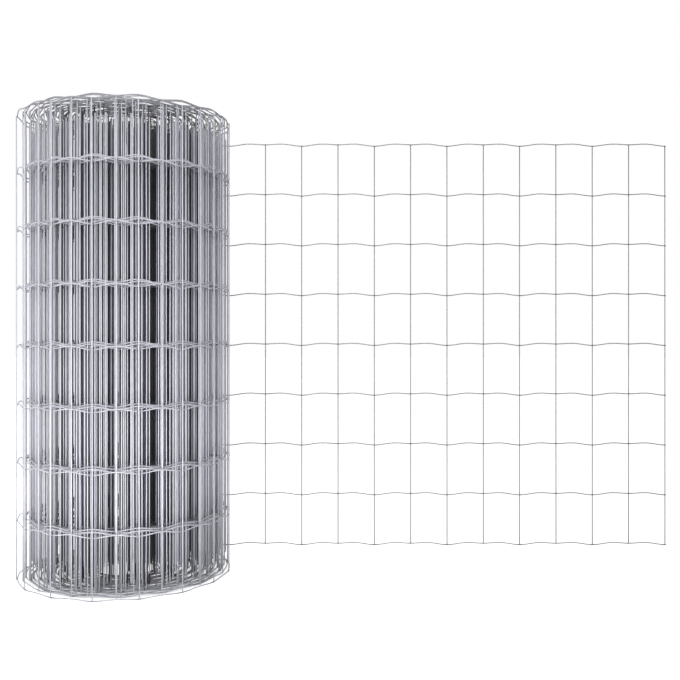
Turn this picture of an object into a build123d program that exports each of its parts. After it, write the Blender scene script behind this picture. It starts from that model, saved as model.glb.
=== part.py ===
from build123d import *
import math
import os

os.makedirs("parts", exist_ok=True)

# Lengths are in mm. The axis of the roll is Z, the floor is at Z = 0, and the unrolled end runs along +X.

# Welded mesh: upright stay wires, and crimped line wires that run the length of the fence.
row_pitch = 100.0
row_count = 9
stay_pitch = 73.0
line_wire_d = 2.0
stay_wire_d = 2.0
wire_sides = 6
weld_set_down = 0.3

# Crimp of a line wire, which rises between the stays and dips at each of them, deeper at every second one.
crimp_height = 4.2
crimp_dip = 1.4
crimp_peak_share = 0.6

# One length of fence: most of it is wound up, and the end of it stands unrolled.
fence_length = 25000.0
roll_outer_d = 374.0
bore_d = 90.0
free_cells = 14
lead_in = 15.0

# Turns on the ends of the roll. A ridge is the edge of a few turns that lie close together.
turns_per_ridge = 3
turn_groove_depth = 6.0

roll_outer_r = roll_outer_d / 2
bore_r = bore_d / 2
web_thickness = stay_wire_d + line_wire_d - weld_set_down
free_length = lead_in + free_cells * stay_pitch

# A wire has a few flat sides, and two of them face the other set of wires. Its corner is highest at a bend.
corner_ratio = 1 / math.cos(math.pi / wire_sides)
crimp_slope = math.atan2(crimp_height, crimp_peak_share * stay_pitch)
line_half_height = line_wire_d / 2 * corner_ratio / math.cos(crimp_slope)
stay_length = (row_count - 1) * row_pitch + 2 * line_half_height
fence_height = stay_length + crimp_height

# The stays lie on the outer side of the line wires.
stay_y = roll_outer_r - stay_wire_d / 2
line_y = stay_y - (stay_wire_d + line_wire_d) / 2 + weld_set_down

# Wound roll: one turned solid with its bore.
wound_length = fence_length - free_length
turn_pitch = math.pi * (roll_outer_r**2 - bore_r**2) / wound_length
grooved_width = roll_outer_r - bore_r - 2 * web_thickness
groove_count = round(grooved_width / (turn_pitch * turns_per_ridge))
groove_pitch = grooved_width / groove_count

# From the bore outwards, each groove is a V between two ridges. A flat turn bounds them at the bore and at
# the rim.
end_line = [(bore_r, 0)]
for i in range(groove_count):
    ridge_r = bore_r + web_thickness + i * groove_pitch
    end_line.append((ridge_r, 0))
    end_line.append((ridge_r + groove_pitch / 2, turn_groove_depth))
end_line.append((roll_outer_r - web_thickness, 0))
end_line.append((roll_outer_r, 0))

lower_end = [(r, 0, depth) for r, depth in end_line]
upper_end = [(r, 0, fence_height - depth) for r, depth in reversed(end_line)]
half_section = make_face(Polyline(*lower_end, *upper_end, close=True))
wound_roll = revolve(half_section, axis=Axis.Z)

# Unrolled end: the bends of a line wire, from inside the rim of the roll to the last stay, and the foot of
# each free stay. The first free stay is one cell past the lead-in, and the last one closes the fence.
bends = []
stay_feet = []
for i in range(free_cells + 1):
    stay_x = lead_in + i * stay_pitch
    low_stay = (free_cells - i) % 2 == 0
    stay_rise = 0 if low_stay else crimp_height - crimp_dip
    if low_stay and i > 0:
        bends.append((stay_x - crimp_peak_share * stay_pitch, crimp_height))
    bends.append((stay_x, stay_rise))
    if low_stay and i < free_cells:
        bends.append((stay_x + crimp_peak_share * stay_pitch, crimp_height))
    if i > 0:
        stay_feet.append((stay_x, stay_y, stay_rise))
bends.append((free_length + stay_wire_d / 2, 0))

line_path = Polyline(*[(x, line_y, line_half_height + rise) for x, rise in bends])
line_plane = Plane(origin=line_path @ 0, x_dir=(0, 1, 0), z_dir=line_path % 0)
flat_turn = 180 / wire_sides
line_outline = RegularPolygon(line_wire_d / 2, wire_sides, major_radius=False, rotation=flat_turn)
line_section = line_plane * line_outline
roll_space = Cylinder(roll_outer_r, fence_height, align=(Align.CENTER, Align.CENTER, Align.MIN))
line_wire = sweep(line_section, path=line_path, transition=Transition.RIGHT) - roll_space
line_wires = [Pos(0, 0, i * row_pitch) * line_wire for i in range(row_count)]

# A stay is cut off at the lowest and the highest line wire, so it stands as high as they do there.
stay_section = RegularPolygon(stay_wire_d / 2, wire_sides, major_radius=False)
stay_wire = extrude(stay_section, stay_length)
stays = [Pos(foot) * stay_wire for foot in stay_feet]
unrolled_end = Part() + line_wires + stays

export_step(wound_roll, "parts/wound_roll.step")
export_step(unrolled_end, "parts/unrolled_end.step")
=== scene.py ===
import bpy
import numpy as np
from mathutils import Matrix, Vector


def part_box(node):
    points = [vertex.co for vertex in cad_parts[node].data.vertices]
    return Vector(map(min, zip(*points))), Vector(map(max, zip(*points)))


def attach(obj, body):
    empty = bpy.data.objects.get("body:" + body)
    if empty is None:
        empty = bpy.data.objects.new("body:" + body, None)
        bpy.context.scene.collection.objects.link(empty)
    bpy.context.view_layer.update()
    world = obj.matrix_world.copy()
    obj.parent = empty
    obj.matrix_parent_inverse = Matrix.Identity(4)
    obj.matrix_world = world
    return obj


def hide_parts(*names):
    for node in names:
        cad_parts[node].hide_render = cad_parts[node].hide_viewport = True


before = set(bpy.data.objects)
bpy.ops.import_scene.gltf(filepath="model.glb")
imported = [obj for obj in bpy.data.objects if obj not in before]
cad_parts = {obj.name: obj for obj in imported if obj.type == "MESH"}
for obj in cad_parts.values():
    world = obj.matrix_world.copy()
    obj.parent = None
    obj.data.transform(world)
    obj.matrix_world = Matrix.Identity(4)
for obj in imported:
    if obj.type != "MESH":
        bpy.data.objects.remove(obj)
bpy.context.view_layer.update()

# The fence as one length of welded mesh, laid out in plan. The last metre of it stands flat, and the
# rest is wound up round an open middle. The outermost turn has sprung free, the next few are loose, and
# from there inwards the turns lie one on another, shifted a little towards the free end.
MM = 0.001
roll_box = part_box("wound_roll")
roll_radius = roll_box[1].x
wire_d = 2.0 * MM
weld_set_down = 0.3 * MM
stay_offset = wire_d - weld_set_down
line_radius = roll_radius - wire_d / 2 - stay_offset
stay_pitch = 73.0 * MM
free_cells = 14
lead_in = 15.0 * MM
free_length = lead_in + free_cells * stay_pitch

# How far apart the turns lie, at marks that count the turns from the outside.
most_turns = 40
steps_per_turn = 1000
turn_marks = [0, 0.6, 0.8, 1.05, 1.25, 3.5, most_turns]
pitch_marks = np.array([0, 0, 11, 11, 5.7, 4.05, 4.05]) * MM
pack_shift = 3.6 * MM
shift_turns = (0.75, 1.25)


def eased(value, low, high):
    """A smooth step from 0 at low to 1 at high: 3 x squared minus 2 x cubed, where x is the share of the
    way."""
    share = np.clip((value - low) / (high - low), 0, 1)
    return share * share * (3 - 2 * share)


def summed(steps):
    """Running total of an array of steps, from 0."""
    return np.concatenate([[0], np.cumsum(steps)])


turn_table = np.linspace(0, most_turns, most_turns * steps_per_turn + 1)
pitch_table = np.interp(turn_table, turn_marks, pitch_marks)
fall_table = summed((pitch_table[1:] + pitch_table[:-1]) / 2 * np.diff(turn_table))
angle_table = np.pi / 2 + 2 * np.pi * turn_table
unit_table = np.stack([np.cos(angle_table), np.sin(angle_table)], axis=1)
plan_table = (line_radius - fall_table)[:, None] * unit_table
plan_table[:, 0] += pack_shift * eased(turn_table, *shift_turns)
along_table = free_length + summed(np.linalg.norm(np.diff(plan_table, axis=0), axis=1))


def turn_at(along):
    """Turns wound so far at a distance along the fence from its free end: 0 on the flat stretch."""
    return np.interp(along, along_table, turn_table)


def plan_at(along):
    """Plan point of the line wires. The flat stretch runs along X to the roll. There the plan is a spiral
    whose radius falls by the sum of a pitch that depends on the turn: nothing on the sprung turn, much
    where it steps in behind the flat stretch, and less and less from there. A shift along X eases in with
    that step."""
    flat = np.stack([free_length - along, np.full_like(along, line_radius)], axis=-1)
    wound = np.stack([np.interp(along, along_table, plan_table[:, axis]) for axis in (0, 1)], axis=-1)
    return np.where((along < free_length)[..., None], flat, wound)


def outward_at(along):
    """Unit vector in plan, square to the fence and away from the middle of the roll: the heading over a
    short reach, a quarter turn to its right."""
    reach = 0.5 * MM
    heading = plan_at(along + reach) - plan_at(along - reach)
    heading /= np.linalg.norm(heading, axis=-1, keepdims=True)
    return np.stack([heading[..., 1], -heading[..., 0]], axis=-1)


# Drawn steel wire, hot-dip galvanised. An oxide skin on the zinc scatters much of the light, so it is satin,
# only partly metallic, and grey with a cold cast. Some patches are duller, the skin is faintly rippled, and
# the welds are darker. A shade tone below 1 mixes in a dark colour as painted shade, most of it deep in the
# roll.
dull_zinc = "#B6B7BF"
bright_zinc = "#D6D7E0"
weld_grey = "#7C7D82"
shaded_zinc = "#1A1B22"
zinc_metallic = 0.3
zinc_roughness = (0.30, 0.46)

# Patches and ripple are drawn coarser than on real wire, where they are too fine to show.
spangle_size = 9.0 * MM
ripple_size = 1.6 * MM
ripple_height = 0.04 * MM


def linear(hex_colour):
    """An sRGB hex colour as linear red, green, blue and alpha."""
    srgb = np.array([int(hex_colour[i:i + 2], 16) for i in (1, 3, 5)]) / 255
    rgb = np.where(srgb <= 0.04045, srgb / 12.92, ((srgb + 0.055) / 1.055) ** 2.4)
    return (*rgb, 1.0)


def add_node(tree, kind, settings=None, values=None, links=None):
    """A node of a kind, with its settings, the values of its unlinked sockets and its linked sockets."""
    node = tree.nodes.new(kind)
    for key, value in (settings or {}).items():
        setattr(node, key, value)
    for key, value in (values or {}).items():
        node.inputs[key].default_value = value
    for key, socket in (links or {}).items():
        tree.links.new(socket, node.inputs[key])
    return node


galvanised_wire = bpy.data.materials.new("galvanised_steel_wire")
galvanised_wire.use_nodes = True
tree = galvanised_wire.node_tree
tree.nodes.clear()
place = add_node(tree, "ShaderNodeTexCoord").outputs["Object"]
spangle = add_node(tree, "ShaderNodeTexNoise", values={"Scale": 1 / spangle_size, "Detail": 3.0},
                   links={"Vector": place}).outputs["Fac"]
zinc = add_node(tree, "ShaderNodeMix", {"data_type": "RGBA"},
                {6: linear(dull_zinc), 7: linear(bright_zinc)}, {0: spangle}).outputs[2]
weld_mark = add_node(tree, "ShaderNodeAttribute", {"attribute_name": "weld"}).outputs["Fac"]
welded = add_node(tree, "ShaderNodeMix", {"data_type": "RGBA"}, {7: linear(weld_grey)},
                  {0: weld_mark, 6: zinc}).outputs[2]
# Painted shade: the shade tone mixes the wire's colour towards a dark zinc.
shade_tone_mark = add_node(tree, "ShaderNodeAttribute", {"attribute_name": "shade_tone"}).outputs["Fac"]
colour = add_node(tree, "ShaderNodeMix", {"data_type": "RGBA"}, {6: linear(shaded_zinc)},
                  {0: shade_tone_mark, 7: welded}).outputs[2]
dullness = add_node(tree, "ShaderNodeMapRange",
                    values={"To Min": zinc_roughness[0], "To Max": zinc_roughness[1]},
                    links={"Value": spangle}).outputs["Result"]
ripple = add_node(tree, "ShaderNodeTexNoise", values={"Scale": 1 / ripple_size, "Detail": 2.0},
                  links={"Vector": place}).outputs["Fac"]
skin = add_node(tree, "ShaderNodeBump", values={"Distance": ripple_height},
                links={"Height": ripple}).outputs["Normal"]
surface = add_node(tree, "ShaderNodeBsdfPrincipled", values={"Metallic": zinc_metallic},
                   links={"Base Color": colour, "Roughness": dullness, "Normal": skin}).outputs["BSDF"]
add_node(tree, "ShaderNodeOutputMaterial", links={"Surface": surface})

# Line wires: nine drawn wires that run the whole length of the fence. Rollers crimp them as the mesh is
# welded, so each one rises between the stays and dips at every stay, deeper at every second one. In the
# roll the short waves are deeper, less so in the lower rows, and the lowest wire is pressed flatter.
fence_length = 25.0
cell_count = int(fence_length / stay_pitch)
row_count = 9
row_pitch = 100.0 * MM
first_row_z = wire_d / 2
crimp_slow = 1.4 * MM
crimp_fast = 1.4 * MM

# In the roll: how many times as high each wave is, the share of that in each row, and the turns over which
# it comes in.
wound_slow = 0.5
wound_fast = 2.3
wound_rows = np.array([0.3, 0.65, 0.7, 0.75, 0.8, 0.9, 1, 1, 0.6])
wound_turns = (0, 0.1)

# Slip of the turns past each other. The rates are in radians a turn.
slip_height = 3.2 * MM
slip_rate = 1.6
slip_wobble = 0.25
wobble_rate = 5.3
slip_turns = (0.6, 1.3)

# Shade tone: how much of the zinc's colour shows, the rest being painted shade. It is set on the flat
# stretch, in each row of the outer turns, and deep in the roll, with the share of that fall in each row. The
# flat stretch is darker than the outer turns, and the lowest and highest rows carry more painted shade. Deep
# in the roll, more light reaches the edge rows at its open ends.
flat_shade_tone = 0.62
wound_shade_tones = np.array([0.7] + [0.82] * (row_count - 2) + [0.48])
deep_shade_tone = 0.08
dark_rows = np.array([0.3] + [1] * (row_count - 2) + [0.2])
outer_turns = (0, 0.2)
line_turns = (1.5, 10)

# Rings of a wire, in shares of a cell, and its map. Three quads close an eight-sided end, and each has a
# box of its own on the map.
wire_sides = 8
ring_shares = np.array([0, 0.06, 0.2, 0.35, 0.5, 0.65, 0.8, 0.94])
weld_sharpness = 60
strip_cells = 12
line_columns = 1
end_quads = np.array([[0, 1, 2, 3], [0, 3, 4, 7], [4, 5, 6, 7]])
end_box_u = np.array([0.2, 0.8, 0.8, 0.2])
end_box_v = np.array([0.4, 0.4, 0.8, 0.8])


def crimp(along, rows):
    """Height of crimped line wires above their lowest point, rows x distances: 1 minus the cosine of a wave
    of two cells, plus the same of a wave of one cell, both lowest at the free end's last stay. In the roll
    each wave and each row has a height of its own."""
    phase = np.pi * along / stay_pitch
    slow = crimp_slow * (1 - np.cos(phase))
    fast = crimp_fast * (1 - np.cos(2 * phase))
    wound = eased(turn_at(along), *wound_turns)
    kept = 1 + wound * (wound_rows[rows][:, None] - 1)
    return kept * (slow * (1 + wound * (wound_slow - 1)) + fast * (1 + wound * (wound_fast - 1)))


def climb(along):
    """How much higher the mesh stands at a distance along it. The flat stretch and the sprung turn stand on
    the floor, and inside it the turns have slipped up past each other: 1 minus the cosine of the turns
    past the sprung one, with a small sine on top, and nowhere below 0."""
    turn = turn_at(along)
    slip = 1 - np.cos(slip_rate * (turn - slip_turns[0])) + slip_wobble * np.sin(wobble_rate * turn)
    return slip_height * np.maximum(slip, 0) * eased(turn, *slip_turns)


def shade_tone_at(along, dark_turns, wound_shade_tone=1, dark_share=1):
    """How much of the zinc's own colour shows, the rest being painted shade: a value for the flat stretch,
    one for the outer turns, and from there a fall to a low value deep in the roll, or a share of that fall."""
    turn = turn_at(along)
    outer = flat_shade_tone + (wound_shade_tone - flat_shade_tone) * eased(turn, *outer_turns)
    return outer + dark_share * (deep_shade_tone - wound_shade_tone) * eased(turn, *dark_turns)


def tube(centres, across, up):
    """Round wire: every point of a centre line carries a circle, the wire's radius times (cos a, sin a)
    along two unit vectors across and up, a running once round. Returns wires x points x sides x 3."""
    angle = 2 * np.pi * np.arange(wire_sides) / wire_sides
    ring = np.cos(angle)[:, None] * across[..., None, :] + np.sin(angle)[:, None] * up[..., None, :]
    return centres[..., None, :] + wire_d / 2 * ring


def strip_map(wires, spans, sides, strip_spans, columns):
    """Map of the walls as straight strips. A wire is cut every so many spans, and the strips fill a grid
    line by line. The wire runs along a strip, and the way round it runs across. Returns wires x spans x
    sides x 4 x 2."""
    strips = -(-spans // strip_spans)
    lines = -(-wires * strips // columns) + 1
    wire, span, side = np.meshgrid(np.arange(wires), np.arange(spans), np.arange(sides), indexing="ij")
    strip = wire * strips + span // strip_spans
    step = span % strip_spans
    end_inset = 0.04
    edge_inset = 0.1
    corners = []
    for ahead, round_by in ((0, 0), (1, 0), (1, 1), (0, 1)):
        u = strip % columns + end_inset + (1 - 2 * end_inset) * (step + ahead) / strip_spans
        v = strip // columns + edge_inset + (1 - 2 * edge_inset) * (side + round_by) / sides
        corners.append(np.stack([u / columns, v / lines], axis=-1))
    return np.stack(corners, axis=-2)


def wire_piece(name, node, rings, weld, shade_tone, strip_spans, columns):
    """A piece of closed wires. Quads join each ring to the next, and a few more close each end. The weld
    mark and the shade tone, which sets the painted shade, are given at the rings and kept as attributes, and
    the map keeps its top line for the ends."""
    wires, points, sides = rings.shape[:3]
    index = np.arange(wires * points * sides).reshape(wires, points, sides)
    beside = np.roll(index, -1, axis=2)
    walls = np.stack([index[:, :-1], index[:, 1:], beside[:, 1:], beside[:, :-1]], axis=-1).reshape(-1, 4)
    ends = np.concatenate([index[:, 0][:, end_quads], index[:, -1][:, end_quads[:, ::-1]]]).reshape(-1, 4)
    mesh = bpy.data.meshes.new(name)
    mesh.from_pydata(rings.reshape(-1, 3), (), np.concatenate([walls, ends]))
    mesh.polygons.foreach_set("use_smooth", np.arange(len(walls) + len(ends)) < len(walls))
    for label, values in (("weld", weld), ("shade_tone", shade_tone)):
        layer = mesh.attributes.new(label, "FLOAT", "POINT")
        layer.data.foreach_set("value", np.repeat(values.reshape(-1), sides).astype(np.float32))
    wall_map = strip_map(wires, points - 1, sides, strip_spans, columns)
    top_line = wall_map[..., 1].max()
    end_u = (np.arange(len(ends))[:, None] + end_box_u) / len(ends)
    end_v = top_line + (1 - top_line) * end_box_v
    end_map = np.stack([end_u, np.broadcast_to(end_v, end_u.shape)], axis=-1)
    uv = np.concatenate([wall_map.reshape(-1, 2), end_map.reshape(-1, 2)])
    mesh.uv_layers.new(name="OFBake").data.foreach_set("uv", uv.astype(np.float32).reshape(-1))
    mesh.materials.append(galvanised_wire)
    piece = bpy.data.objects.new(name, mesh)
    bpy.context.collection.objects.link(piece)
    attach(piece, "root")
    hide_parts(node)


def line_wires(name, node, rows, first_cell, last_cell):
    """The line wires of some rows from one stay of the fence to another, with rings close to each weld and
    further apart between. A ring stands square to its wire, and the weld mark is a high power of a cosine
    that peaks at each stay."""
    cells = np.arange(first_cell, last_cell)
    along = np.append((cells[:, None] + ring_shares).reshape(-1), last_cell) * stay_pitch
    if first_cell == 0:
        along[0] = -wire_d / 2
    centres = np.zeros((len(rows), len(along), 3))
    centres[:, :, :2] = plan_at(along)
    centres[:, :, 2] = first_row_z + rows[:, None] * row_pitch + crimp(along, rows) + climb(along)
    heading = np.gradient(centres, axis=1)
    heading /= np.linalg.norm(heading, axis=2, keepdims=True)
    across = np.zeros_like(centres)
    across[:, :, :2] = outward_at(along)
    up = np.cross(heading, across)
    up /= np.linalg.norm(up, axis=2, keepdims=True)
    rings = tube(centres, np.cross(up, heading), up)
    weld = np.tile(np.cos(np.pi * along / stay_pitch) ** weld_sharpness, (len(rows), 1))
    # Painted shade: line wires darken deep in the roll, the edge rows less.
    shade_tone = shade_tone_at(along, line_turns, wound_shade_tones[rows][:, None], dark_rows[rows][:, None])
    wire_piece(name, node, rings, weld, shade_tone, strip_cells * len(ring_shares), line_columns)


line_wires("line_wires_unrolled", "unrolled_end", np.arange(row_count), 0, free_cells)
wound_bands = ("line_wires_lower", "line_wires_middle", "line_wires_upper")
for name, rows in zip(wound_bands, np.split(np.arange(row_count), len(wound_bands))):
    line_wires(name, "wound_roll", rows, free_cells, cell_count)

# Stay wires: straight lengths of the same wire, welded across the outer side of the line wires, one to a
# cell, and cut off at the lowest and the highest of them. Handling has left them a little out of true,
# those of the flat stretch the least.
stay_lean = 1.1 * MM
stay_bow = 0.9 * MM
stay_spans = 4
stay_columns = 4
stay_turns = (7, 14)


def stay_wires(name, node, along, steadiness):
    """Upright wires of a few equal spans, from the lowest line wire to the highest. Each leans along the
    fence by a random amount and bows by a half sine of its height, both divided by a steadiness. The
    number of wires seeds the random amounts."""
    random = np.random.default_rng(len(along))
    share = np.linspace(0, 1, stay_spans + 1)
    outward = outward_at(along)
    sideways = np.stack([-outward[:, 1], outward[:, 0]], axis=1)
    lean = stay_lean * random.uniform(-1, 1, len(along))[:, None] * (2 * share - 1)
    lean += stay_bow * random.uniform(-1, 1, len(along))[:, None] * np.sin(np.pi * share)
    centres = np.zeros((len(along), len(share), 3))
    centres[:, :, :2] = (plan_at(along) + outward * stay_offset)[:, None]
    centres[:, :, :2] += sideways[:, None] * lean[..., None] / steadiness
    foot, top = crimp(along, np.array([0, row_count - 1]))
    top += (row_count - 1) * row_pitch + wire_d
    centres[:, :, 2] = (foot + climb(along))[:, None] + (top - foot)[:, None] * share
    across = np.zeros_like(centres)
    across[:, :, :2] = sideways[:, None]
    up = np.zeros_like(centres)
    up[:, :, :2] = outward[:, None]
    rings = tube(centres, across, up)
    # Painted shade: stays darken deep in the roll.
    shade_tone = np.tile(shade_tone_at(along, stay_turns)[:, None], (1, len(share)))
    wire_piece(name, node, rings, np.zeros_like(shade_tone), shade_tone, stay_spans, stay_columns)


free_stays = np.arange(free_cells) * stay_pitch
wound_stays = np.arange(free_cells, cell_count + 1) * stay_pitch
stay_wires("stay_wires_unrolled", "unrolled_end", free_stays, steadiness=4)
stay_wires("stay_wires_wound", "wound_roll", wound_stays, steadiness=1)

# Inner stays: extra upright wires of the same kind among the tight turns, which close the lines of sight
# through the roll. They stand for the shade inside it and carry painted shade like the wires around them,
# darker further in. Their feet end at random heights above the floor, so that light shows under them, and
# their tops below the upper end.
fence_height = roll_box[1].z
inner_count = 520
inner_radii = (55.0 * MM, 174.0 * MM)
inner_shift = 6.5 * MM
inner_feet = (4.0 * MM, 48.0 * MM)
inner_top = 25.0 * MM
inner_spans = 1
inner_seed = 3
bright_radius = 148.0 * MM
dark_radius = 117.0 * MM

# The angles are even and the radii random, as a power of a share. A power under 1 crowds them outwards.
crowding_power = 0.75
random = np.random.default_rng(inner_seed)
angle = 2 * np.pi * np.arange(inner_count) / inner_count
radius_share = random.uniform(0, 1, inner_count) ** crowding_power
radius = inner_radii[0] + (inner_radii[1] - inner_radii[0]) * radius_share
level = np.zeros(inner_count)
outward = np.stack([np.cos(angle), np.sin(angle), level], axis=1)[:, None].repeat(inner_spans + 1, axis=1)
sideways = np.stack([-np.sin(angle), np.cos(angle), level], axis=1)[:, None].repeat(inner_spans + 1, axis=1)
centres = radius[:, None, None] * outward + (inner_shift, 0, 0)
centres[:, 0, 2] = random.uniform(*inner_feet, inner_count)
centres[:, -1, 2] = fence_height - inner_top
# Painted shade: the inner stays darken from the bright radius in to the dark radius.
shade_tone = deep_shade_tone + (1 - deep_shade_tone) * eased(radius, dark_radius, bright_radius)
shade_tone = shade_tone[:, None].repeat(inner_spans + 1, axis=1)
rings = tube(centres, sideways, outward)
wire_piece("stay_wires_inner", "wound_roll", rings, np.zeros_like(shade_tone), shade_tone, inner_spans, stay_columns)

# Studio: a white floor with a soft shade under the fence, white surroundings, and soft lights near the
# roll, from the front right, low in front, front left, above and behind left. A level camera stands at
# about half the height of the fence.
floor_reach = 12.0
floor_paint = "#B0B0B0"
shade_reach = 60.0 * MM
shade_limits = (0.05, 0.45)
shade_samples = 8
floor_mesh = bpy.data.meshes.new("floor")
floor_corners = floor_reach * np.array([[-1, -1, 0], [1, -1, 0], [1, 1, 0], [-1, 1, 0]])
floor_mesh.from_pydata(floor_corners, (), [(0, 1, 2, 3)])
floor = bpy.data.objects.new("floor", floor_mesh)
bpy.context.collection.objects.link(floor)


def direct_view(tree):
    """1 on rays that come from the camera, a reflection or a see-through surface, and 0 on diffuse light."""
    path = add_node(tree, "ShaderNodeLightPath").outputs
    seen = add_node(tree, "ShaderNodeMath", {"operation": "MAXIMUM"},
                    links={0: path["Is Camera Ray"], 1: path["Is Glossy Ray"]}).outputs[0]
    return add_node(tree, "ShaderNodeMath", {"operation": "MAXIMUM"},
                    links={0: seen, 1: path["Is Transmission Ray"]}).outputs[0]


# Matt paint, which a direct view sees as white, less so where the fence stands close over it.
white_floor = bpy.data.materials.new("white_floor")
white_floor.use_nodes = True
tree = white_floor.node_tree
tree.nodes.clear()
open_sky = add_node(tree, "ShaderNodeAmbientOcclusion", {"samples": shade_samples},
                    {"Distance": shade_reach}).outputs["AO"]
shade = add_node(tree, "ShaderNodeMapRange",
                 values={"From Min": shade_limits[0], "From Max": shade_limits[1]},
                 links={"Value": open_sky}).outputs[0]
shown = add_node(tree, "ShaderNodeMath", {"operation": "MULTIPLY"},
                 links={0: direct_view(tree), 1: shade}).outputs[0]
paint = add_node(tree, "ShaderNodeBsdfDiffuse", values={"Color": linear(floor_paint)}).outputs[0]
glow = add_node(tree, "ShaderNodeEmission", links={"Strength": shown}).outputs[0]
lit = add_node(tree, "ShaderNodeAddShader", links={0: paint, 1: glow}).outputs[0]
add_node(tree, "ShaderNodeOutputMaterial", links={"Surface": lit})
floor_mesh.materials.append(white_floor)

# White surroundings for a direct view, and a weak fill light for the rest.
studio_white = "#FFFFFF"
fill_level = 0.15
white_level = 1.0
world = bpy.data.worlds.new("white_studio")
bpy.context.scene.world = world
world.use_nodes = True
tree = world.node_tree
tree.nodes.clear()
strength = add_node(tree, "ShaderNodeMapRange", values={"To Min": fill_level, "To Max": white_level},
                    links={"Value": direct_view(tree)}).outputs[0]
sky = add_node(tree, "ShaderNodeBackground", values={"Color": linear(studio_white)},
               links={"Strength": strength}).outputs[0]
add_node(tree, "ShaderNodeOutputWorld", links={"Surface": sky})


def soft_light(name, place, target, width, height, power):
    """A rectangular area light that faces a target and doesn't show in reflections."""
    lamp = bpy.data.lights.new(name, "AREA")
    lamp.shape = "RECTANGLE"
    lamp.size = width
    lamp.size_y = height
    lamp.energy = power
    holder = bpy.data.objects.new(name, lamp)
    bpy.context.collection.objects.link(holder)
    holder.location = place
    holder.rotation_euler = (Vector(target) - Vector(place)).to_track_quat("-Z", "Y").to_euler()
    holder.visible_glossy = False


roll_middle = (0, 0, fence_height / 2)
roll_top = (0, 0, fence_height)
soft_light("front_softbox", (0.22, -0.88, 0.5), roll_middle, width=0.5, height=0.74, power=6.0)
soft_light("low_softbox", (0.0, -0.42, 0.02), roll_top, width=0.9, height=0.3, power=4.2)
soft_light("left_softbox", (-0.8, -0.6, 0.4), roll_middle, width=0.5, height=0.7, power=4.6)
soft_light("top_softbox", (0.0, -0.5, 1.4), roll_middle, width=0.6, height=0.4, power=6.0)
soft_light("back_softbox", (-0.75, 0.8, 0.4), roll_middle, width=0.6, height=0.74, power=9.0)

# The camera looks along +Y, with its frame moved down by a few pixels.
camera_place = (0.384, -1.583, 0.434)
image_pixels = 680
focal_pixels = 880
frame_drop_pixels = 11.0
camera_data = bpy.data.cameras.new("camera")
camera_data.sensor_width = 36.0
camera_data.lens = camera_data.sensor_width * focal_pixels / image_pixels
camera_data.shift_y = -frame_drop_pixels / image_pixels
camera = bpy.data.objects.new("camera", camera_data)
camera.location = camera_place
camera.rotation_euler = (np.pi / 2, 0, 0)
bpy.context.collection.objects.link(camera)
bpy.context.scene.camera = camera
bpy.context.scene.view_settings.view_transform = "Standard"
